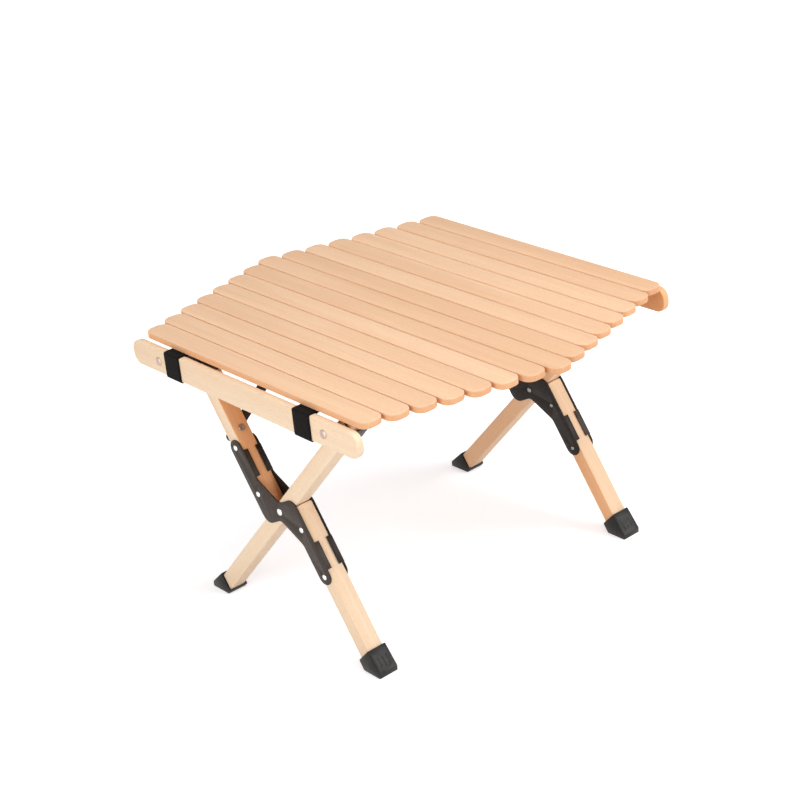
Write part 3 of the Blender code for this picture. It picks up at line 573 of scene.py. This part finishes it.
def plated_steel(name, base, low, high, painted_tail_shade=0.0):
    """Plated steel from roughness low to high, with painted shade, as much as its last argument
    asks, on the faces of each end that look towards the table's middle."""
    material, tree, shader = surface(name, Metallic=1.0)
    where = lay(tree)
    marks = use(tree, SCUFFS, Place=where["Object"], Size=PLATING_MARKS)
    shade = blend(tree, maths(tree, "MULTIPLY", marks["Rubbed"], 0.6), base,
                  colour(*(0.6 * c for c in base[:3])))
    # Painted shade on the faces of each end that look towards the table's middle
    outwards = axes(tree, vector(tree, "MULTIPLY", where["Object"], where["Normal"]))[0]
    inner = maths(tree, "MULTIPLY", maths(tree, "LESS_THAN", outwards, -0.01), painted_tail_shade)
    shade = blend(tree, inner, shade, TAIL_SHADE, "MULTIPLY")
    rough = remap(tree, marks["Speckle"], 0.25, 0.75, low, high)
    finish(tree, shader, shade, rough, marks["Speckle"], 0.05, 0.0002)
    return material


def boot_rubber():
    """Black rubber, dusty towards the floor, with a painted highlight along its edges."""
    material, tree, shader = surface("boot_rubber", Specular_IOR_Level=0.22)
    place = lay(tree)["Object"]
    marks = use(tree, SCUFFS, Place=place, Size=RUBBER_MARKS)
    low = remap(tree, axes(tree, place)[2], 0.014, 0.0)
    dust = maths(tree, "MULTIPLY", low, marks["Speckle"], clamp=True)
    shade = blend(tree, marks["Speckle"], *RUBBER_BLACK)
    shade = blend(tree, maths(tree, "MULTIPLY", dust, 0.3), shade, RUBBER_DUST)
    # Painted highlight: the rounded edges greyer
    shade = blend(tree, maths(tree, "MULTIPLY", eased_edge(tree), 0.30), shade, RUBBER_EDGE_HIGHLIGHT)
    rough = remap(tree, marks["Speckle"], 0.2, 0.8, 0.30, 0.46)
    finish(tree, shader, shade, rough, marks["Speckle"], 0.25, 0.0004)
    return material


def webbing():
    """Black woven webbing, its weave laid by the strap's own map."""
    material, tree, shader = surface("black_webbing", Specular_IOR_Level=0.06,
                                     Sheen_Weight=0.015, Sheen_Roughness=0.5)
    place = add(tree, "ShaderNodeUVMap", {"uv_map": "strap_lay"}).outputs[0]
    weave = use(tree, WEAVE, Place=place)
    shade = blend(tree, weave["Thread"], *WEBBING_BLACK)
    rough = remap(tree, weave["Thread"], 0.0, 0.6, 0.62, 0.80)
    finish(tree, shader, shade, rough, weave["Height"], 0.55, 0.0005)
    return material


def sewing_thread():
    material, tree, shader = surface("sewing_thread", Specular_IOR_Level=0.4)
    twist = noise(tree, lay(tree)["Object"], TWIST_SCALE, 1.0)
    tree.links.new(blend(tree, twist, *THREAD_BLACK), shader.inputs["Base Color"])
    tree.links.new(remap(tree, twist, 0.2, 0.8, 0.45, 0.65), shader.inputs["Roughness"])
    return material


SLAT_BEECH = slat_beech()
# Painted shade for the pieces under the top: the far rail and far split legs deeper in tone,
# the far pieces deeper on their sides and edge faces, the near upper legs on their edge faces
RAIL_BEECH = {"near": frame_beech("rail_beech_near", 0.0, 0.12),
              "far": frame_beech("rail_beech_far", 0.0, 0.85, 1.0, 0.75)}
STRAIGHT_BEECH = {"near": frame_beech("straight_leg_beech_near", STRAIGHT_ANGLE, 0.05),
                  "far": frame_beech("straight_leg_beech_far", STRAIGHT_ANGLE, 0.02, 0.62, 0.3)}
UPPER_BEECH = {"near": frame_beech("upper_leg_beech_near", SPLIT_ANGLE, 0.02, 0.0, 1.0),
               "far": frame_beech("upper_leg_beech_far", SPLIT_ANGLE, 0.34, 0.2, 0.8)}
LOWER_BEECH = {"near": frame_beech("lower_leg_beech_near", SPLIT_ANGLE, 0.02),
               "far": frame_beech("lower_leg_beech_far", SPLIT_ANGLE, 0.75, 0.75, 0.0)}
BLACK_STEEL = black_steel("black_steel", OUTER_BLACK)
# The inner plates' copy of the painted steel is darker: painted shade
INNER_STEEL = black_steel("inner_plate_steel", INNER_SHADE_BLACK)
# The rivets and staples get painted shade on their faces towards the table's middle
BRIGHT_STEEL = plated_steel("bright_steel", BRIGHT_PLATING, 0.18, 0.34, 1.0)
PIN_STEEL = plated_steel("pin_steel", PIN_PLATING, 0.44, 0.58)
SCREW_STEEL = plated_steel("screw_steel", SCREW_PLATING, 0.34, 0.52)
BOOT_RUBBER = boot_rubber()
WEBBING = webbing()
THREAD = sewing_thread()


# Wooden pieces

def slats():
    """Slats with round corners and eased edges, one in place of each of the frame's."""
    for i in range(SLAT_COUNT):
        node = "slat_%02d" % (i + 1)
        low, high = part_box(node)
        half = (high.x - low.x) / 2
        corners = [(half, low.y, SLAT_CORNER), (half, high.y, SLAT_CORNER),
                   (-half, high.y, SLAT_CORNER), (-half, low.y, SLAT_CORNER)]
        mesh = board_mesh(node + "_board", rounded(corners, SLAT_CORNER_STEPS), low.z, high.z,
                          (low.x + high.x) / 2)
        ease_edges(mesh, SLAT_ROUND, segments=3, angle=60)
        smooth(mesh, sharp=40)
        show(node + "_board", mesh, SLAT_BEECH, "top", (node,))


def rails():
    for end in ENDS:
        refined("rail_" + end, RAIL_BEECH[end])


def legs():
    for end in ENDS:
        refined("straight_leg_" + end, STRAIGHT_BEECH[end])
        refined("split_leg_upper_" + end, UPPER_BEECH[end])
        refined("split_leg_lower_" + end, LOWER_BEECH[end])


# Steel and rubber pieces

def plates_and_feet():
    for end in ENDS:
        refined("cross_plate_outer_" + end, BLACK_STEEL, STEEL_ROUND)
        refined("cross_plate_inner_" + end, INNER_STEEL, STEEL_ROUND)
        refined("hinge_bracket_" + end, BLACK_STEEL, STEEL_ROUND)
        refined("hook_plate_" + end, BLACK_STEEL, STEEL_ROUND)
        for side in ("front", "back"):
            refined("spreader_bar_%s_%s" % (side, end), BLACK_STEEL, STEEL_ROUND)
        for shape in ("straight", "split"):
            refined("foot_%s_%s" % (shape, end), BOOT_RUBBER, RUBBER_ROUND)


def turned_mesh(name, profile):
    """A turned piece along Z from (radius, height) points, top to bottom."""
    mesh = bpy.data.meshes.new(name)
    work = bmesh.new()
    points = [work.verts.new((radius, 0, height)) for radius, height in profile]
    edges = [work.edges.new(pair) for pair in zip(points, points[1:])]
    bmesh.ops.spin(work, geom=points + edges, cent=(0, 0, 0), axis=(0, 0, 1),
                   angle=math.tau, steps=ROUND_STEPS, use_merge=True)
    bmesh.ops.remove_doubles(work, verts=work.verts, dist=WELD)
    bmesh.ops.recalc_face_normals(work, faces=work.faces)
    work.to_mesh(mesh)
    work.free()
    smooth(mesh, sharp=35)
    return mesh


def show_turned(node, profile, place, material):
    """A turned piece in place of a frame node, its top outwards from the table's middle."""
    mesh = turned_mesh(node + "_turned", profile)
    turn = math.pi / 2 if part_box(node)[0].x > 0 else -math.pi / 2
    mesh.transform(Matrix.Translation(place) @ Matrix.Rotation(turn, 4, 'Y'))
    show(node + "_turned", mesh, material, NODES[node]["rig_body"], (node,))


def domed(radius, height, seat, shank):
    """A domed rivet head, from its crown to the shank at its seat."""
    crown = [(radius * math.sin(math.radians(a)), seat + height * math.cos(math.radians(a)))
             for a in DOME_ANGLES]
    return [*crown, (shank, seat)]


def rivet(node, shank, height):
    """A smoother rivet in place of the frame's, with a wide head on its outer side and a small
    hammered tail on its inner one."""
    low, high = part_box(node)
    size = high - low
    seat = size.x / 2 - height
    outer = domed(min(size) / 2 * HEAD_SHARE, height, seat, shank)
    inner = domed(shank + TAIL_RIM, height, seat, shank)
    profile = [*outer, *((r, -z) for r, z in reversed(inner))]
    show_turned(node, profile, (low + high) / 2, BRIGHT_STEEL)


def rivets():
    for end in ENDS:
        for i in range(4):
            rivet("plate_rivet_%s_%d" % (end, i + 1), RIVET_SHANK, RIVET_HEAD_HEIGHT)
        rivet("cross_pivot_" + end, PIN_SHANK, PIN_HEAD_HEIGHT)
        rivet("hook_rivet_" + end, RIVET_SHANK, RIVET_HEAD_HEIGHT)
    for side in ("front", "back"):
        refined("knee_rivet_" + side, BRIGHT_STEEL)


def button_head(seat, rise):
    """A low button head with a dimple, from its crown to its seat; rise is +1 or -1 along Z."""
    crown = seat + rise * PIN_HEAD_HEIGHT
    return [*((radius, crown - rise * drop) for radius, drop in BUTTON_CROWN),
            (PIN_HEAD, seat + rise * PIN_RIM), (PIN_HEAD, seat), (PIN_SHANK, seat)]


def shoulder(outer, inner):
    """The thick part of a pin between the rail and what turns on it or hooks behind it."""
    return [(PIN_SHANK, outer), (PIN_SHOULDER - PIN_ROUND, outer),
            (PIN_SHOULDER, outer - PIN_ROUND), (PIN_SHOULDER, inner + PIN_ROUND),
            (PIN_SHOULDER - PIN_ROUND, inner), (PIN_SHANK, inner)]


def pins():
    """Every pin is turned from sizes of the far end, as the two ends are alike."""
    rail_in, rail_out = (corner.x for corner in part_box("rail_far"))
    bracket_in, bracket_out = (corner.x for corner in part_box("hinge_bracket_far"))
    hook_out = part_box("hook_plate_far")[1].x
    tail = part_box("hook_pin_far")[0].x
    head = button_head(rail_out + FIT_GAP, 1)
    hinge = [*head, *shoulder(rail_in - FIT_GAP, bracket_out + FIT_GAP),
             *reversed(button_head(bracket_in - FIT_GAP, -1))]
    hook = [*head, *shoulder(rail_in - FIT_GAP, hook_out + FIT_GAP),
            (PIN_SHANK, tail + PIN_HEAD_HEIGHT), (PIN_HEAD - PIN_RIM, tail + PIN_HEAD_HEIGHT),
            (PIN_HEAD, tail + PIN_HEAD_HEIGHT - PIN_RIM), (PIN_HEAD, tail + PIN_ROUND),
            (PIN_HEAD - PIN_ROUND, tail), (0, tail)]
    for end in ENDS:
        for node, profile in (("hinge_pin_" + end, hinge), ("hook_pin_" + end, hook)):
            low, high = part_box(node)
            middle = (low + high) / 2
            show_turned(node, profile, (0, middle.y, middle.z), PIN_STEEL)


def stud_face(node, leg, angle):
    """The middle of a stud's head on its leg's face, and the way that face looks."""
    out = Vector((0.0, -math.sin(angle), math.cos(angle)))
    face = max(v.co.dot(out) for v in NODES[leg].data.vertices)
    head = [v.co for v in NODES[node].data.vertices if v.co.dot(out) > face + 0.0001]
    low = Vector(map(min, zip(*head)))
    high = Vector(map(max, zip(*head)))
    middle = (low + high) / 2
    return middle + out * (face + FIT_GAP - middle.dot(out)), out


def stud_screws():
    """A low-lustre socket screw head over each spreader stud, where it comes through the leg.
    """
    for side, leg, angle, body in (("back", "split_leg_upper_", SPLIT_ANGLE, "split_frame"),
                                   ("front", "straight_leg_", STRAIGHT_ANGLE,
                                    "straight_frame")):
        for end in ENDS:
            node = "spreader_bar_%s_%s" % (side, end)
            spot, out = stud_face(node, leg + end, angle)
            mesh = turned_mesh(node + "_screw", SCREW_HEAD)
            mesh.transform(Matrix.Translation(spot) @ out.to_track_quat('Z', 'X').to_matrix()
                           .to_4x4())
            show(node + "_screw", mesh, SCREW_STEEL, body)


# Webbing

def bend(corner, start, end):
    """Points of an arc that rounds a right-angled corner of a strap's path."""
    a = Vector(corner) + (Vector(start) - Vector(corner)).normalized() * STRAP_BEND
    b = Vector(corner) + (Vector(end) - Vector(corner)).normalized() * STRAP_BEND
    centre = a + b - Vector(corner)
    return arc(centre, a - centre, b - centre, BEND_STEPS)


def strap_path(node):
    """The middle line of a strap in the X-Z plane, from one sewn tail to the other."""
    low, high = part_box(node)
    half = STRAP_THICKNESS / 2
    rail_low, rail_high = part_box("rail_far")
    run = high.z - half
    tail = run - STRAP_THICKNESS - TAIL_GAP
    outer = high.x - half
    inner = rail_low.x - (high.x - STRAP_THICKNESS - rail_high.x) - half
    under = low.z + half
    end = (inner - STRAP_TAIL, tail)
    corners = [end, (inner, tail), (inner, under), (outer, under), (outer, run), (0.0, run)]
    side = [Vector(end)]
    for i in range(1, len(corners) - 1):
        side += bend(corners[i], corners[i - 1], corners[i + 1])
    last = side[-1]
    side += [last.lerp(Vector((0.0, run)), k / RUN_STEPS) for k in range(1, RUN_STEPS)]
    other = [Vector((-p.x, p.y)) for p in reversed(side)]
    return side + [Vector((0.0, run))] + other


def webbing_mesh(name, path, y, width):
    """A flat ribbon with rounded edges swept along its path, with its lay in a UV map."""
    half = STRAP_THICKNESS / 2
    flat_half = width / 2 - STRAP_EDGE
    section = [(flat_half, half), (width / 2, half - STRAP_EDGE),
               (width / 2, -half + STRAP_EDGE), (flat_half, -half)]
    flat = [flat_half * (1 - 2 * k / WIDTH_STEPS) for k in range(1, WIDTH_STEPS)]
    section += [(v, -half) for v in flat]
    section += [(-v, -w) for v, w in section[:4]]
    section += [(-v, half) for v in flat]
    mesh = bpy.data.meshes.new(name)
    work = bmesh.new()
    uv = work.loops.layers.uv.new("strap_lay")
    rings = []
    length = 0.0
    for i, point in enumerate(path):
        ahead = path[min(i + 1, len(path) - 1)] - path[max(i - 1, 0)]
        normal = Vector((-ahead.y, ahead.x)).normalized()
        if i:
            length += (point - path[i - 1]).length
        ring = [work.verts.new((point.x + normal.x * w, y + v, point.y + normal.y * w))
                for v, w in section]
        rings.append((length, ring))
    count = len(section)
    for (start, first), (end, second) in zip(rings, rings[1:]):
        for k in range(count):
            m = (k + 1) % count
            face = work.faces.new((first[k], first[m], second[m], second[k]))
            for loop, along, v in zip(face.loops, (start, start, end, end),
                                      (section[k][0], section[m][0], section[m][0],
                                       section[k][0])):
                loop[uv].uv = (along, v + width)
    for length, ring in (rings[0], rings[-1]):
        cap = work.faces.new(ring)
        for loop, (v, w) in zip(cap.loops, section):
            loop[uv].uv = (length + w, v + width)
    bmesh.ops.recalc_face_normals(work, faces=work.faces)
    work.to_mesh(mesh)
    work.free()
    smooth(mesh, sharp=50)
    return mesh


def stitch_mesh(name, spots):
    """Short raised stitches, each a small rounded bar, from (centre, turn) spots."""
    mesh = bpy.data.meshes.new(name)
    work = bmesh.new()
    for centre, turn in spots:
        made = bmesh.ops.create_uvsphere(work, u_segments=8, v_segments=6, radius=0.5)
        matrix = Matrix.Translation(centre) @ Matrix.Rotation(turn, 4, 'Z') \
            @ Matrix.Diagonal((*STITCH_SIZE, 1.0))
        bmesh.ops.transform(work, matrix=matrix, verts=made["verts"])
    work.to_mesh(mesh)
    work.free()
    smooth(mesh, sharp=60)
    return mesh


def tail_stitches(y, width, tail_low, inner):
    """A sewn box with a cross, on the underside of each strap's tail."""
    spots = []
    long = STRAP_TAIL - 2 * STITCH_FROM_END
    wide = width - 2 * STITCH_FROM_EDGE
    x_end = inner - STITCH_FROM_END
    x_start = x_end - long
    count_long = round(long / STITCH_STEP)
    count_wide = round(wide / STITCH_STEP)
    count_slant = round(math.hypot(wide, long) / STITCH_STEP)
    slant = math.atan2(wide, long)
    for sign in (-1, 1):
        for k in range(count_long + 1):
            x = x_start + long * k / count_long
            for side in (-1, 1):
                spots.append((Vector((sign * x, y + side * wide / 2, tail_low)), 0.0))
        for k in range(1, count_wide):
            v = -wide / 2 + wide * k / count_wide
            for x in (x_start, x_end):
                spots.append((Vector((sign * x, y + v, tail_low)), math.pi / 2))
        for k in range(1, count_slant):
            t = k / count_slant
            for side in (-1, 1):
                spots.append((Vector((sign * (x_start + long * t),
                                      y + side * (-wide / 2 + wide * t), tail_low)),
                              sign * side * slant))
    return spots


def staple_mesh(name, y, z):
    """Two staples under each slat, which hold it on the strap."""
    mesh = bpy.data.meshes.new(name)
    work = bmesh.new()
    for i in range(SLAT_COUNT):
        x = (i - (SLAT_COUNT - 1) / 2) * SLAT_PITCH
        for shift in (-STAPLE_SHIFT, STAPLE_SHIFT):
            made = bmesh.ops.create_cube(work, size=1.0)
            bmesh.ops.transform(work, verts=made["verts"], matrix=Matrix.Translation(
                (x, y + shift, z)) @ Matrix.Diagonal((*STAPLE_SIZE, 1.0)))
    bmesh.ops.bevel(work, geom=list(work.edges), offset=STAPLE_ROUND, segments=2, profile=0.5,
                    affect='EDGES')
    work.to_mesh(mesh)
    work.free()
    smooth(mesh, sharp=40)
    return mesh


def straps():
    """Each strap with its sewn tails and the staples that hold the slats on it."""
    for side in ("front", "back"):
        node = "strap_" + side
        low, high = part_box(node)
        y = (low.y + high.y) / 2
        width = high.y - low.y
        path = strap_path(node)
        show(node + "_webbing", webbing_mesh(node + "_webbing", path, y, width), WEBBING, "top",
             (node,))
        spots = tail_stitches(y, width, path[0].y - STRAP_THICKNESS / 2, path[0].x + STRAP_TAIL)
        stitches = stitch_mesh(node + "_stitching", spots)
        show(node + "_stitching", stitches, THREAD, "top")
        staples = staple_mesh(node + "_staples", y, high.z - STRAP_THICKNESS)
        show(node + "_staples", staples, BRIGHT_STEEL, "top")


# Floor, light and camera

def background_rays(tree):
    """1 where the camera sees the background, straight or through a reflection."""
    path = tree.nodes.new("ShaderNodeLightPath").outputs
    seen = maths(tree, "MAXIMUM", path["Is Camera Ray"], path["Is Glossy Ray"])
    return maths(tree, "MAXIMUM", seen, path["Is Transmission Ray"])


def floor():
    """A pale floor that glows to white for the camera and keeps the table's shadow."""
    mesh = bpy.data.meshes.new("floor")
    work = bmesh.new()
    bmesh.ops.create_grid(work, x_segments=1, y_segments=1, size=FLOOR_SIZE)
    work.to_mesh(mesh)
    work.free()
    obj = bpy.data.objects.new("floor", mesh)
    bpy.context.scene.collection.objects.link(obj)
    obj.location.z = -FLOOR_DROP
    material = bpy.data.materials.new("pale_floor")
    material.use_nodes = True
    tree = material.node_tree
    tree.nodes.clear()
    away = add(tree, "ShaderNodeVectorMath", {"operation": "LENGTH"}, i0=lay(tree)["Object"])
    white = remap(tree, away.outputs["Value"], FLOOR_NEAR, FLOOR_FAR, FLOOR_GLOW_NEAR,
                  FLOOR_GLOW_FAR)
    diffuse = add(tree, "ShaderNodeBsdfDiffuse", None, Color=FLOOR_PALE)
    glow = add(tree, "ShaderNodeEmission", None, Color=WHITE,
               Strength=maths(tree, "MULTIPLY", background_rays(tree), white))
    both = add(tree, "ShaderNodeAddShader", None, i0=diffuse.outputs[0], i1=glow.outputs[0])
    add(tree, "ShaderNodeOutputMaterial", None, Surface=both.outputs[0])
    mesh.materials.append(material)


def world():
    """White to the camera, and a little light from all round on the table."""
    made = bpy.data.worlds.new("studio")
    bpy.context.scene.world = made
    made.use_nodes = True
    tree = made.node_tree
    back = tree.nodes["Background"]
    back.inputs["Color"].default_value = WHITE
    strength = maths(tree, "MAXIMUM", background_rays(tree), ROOM_LIGHT)
    tree.links.new(strength, back.inputs["Strength"])


def lights():
    """Three large softboxes: over the table, in front of it and to its left."""
    for name, place, aim, size, power in SOFTBOXES:
        lamp = bpy.data.lights.new(name, 'AREA')
        lamp.shape = 'RECTANGLE'
        lamp.size, lamp.size_y = size
        lamp.energy = power
        obj = bpy.data.objects.new(name, lamp)
        bpy.context.scene.collection.objects.link(obj)
        obj.location = place
        obj.rotation_euler = (Vector(aim) - Vector(place)).to_track_quat('-Z', 'Y').to_euler()


def camera():
    """The photograph's view."""
    flat = math.cos(CAMERA_PITCH)
    forward = Vector((flat * math.cos(CAMERA_YAW), flat * math.sin(CAMERA_YAW),
                      -math.sin(CAMERA_PITCH)))
    level = forward.cross(Vector((0, 0, 1))).normalized()
    upright = level.cross(forward)
    right = level * math.cos(CAMERA_ROLL) + upright * math.sin(CAMERA_ROLL)
    up = upright * math.cos(CAMERA_ROLL) - level * math.sin(CAMERA_ROLL)
    turn = Matrix((right, up, -forward)).transposed()
    lens = bpy.data.cameras.new("photo_view")
    lens.sensor_width = CAMERA_SENSOR
    lens.lens = CAMERA_LENS
    obj = bpy.data.objects.new("photo_view", lens)
    bpy.context.scene.collection.objects.link(obj)
    obj.matrix_world = Matrix.Translation(CAMERA_PLACE) @ turn.to_4x4()
    bpy.context.scene.camera = obj


slats()
rails()
legs()
plates_and_feet()
rivets()
pins()
stud_screws()
straps()
floor()
world()
lights()
camera()
bpy.context.scene.view_settings.view_transform = 'Standard'
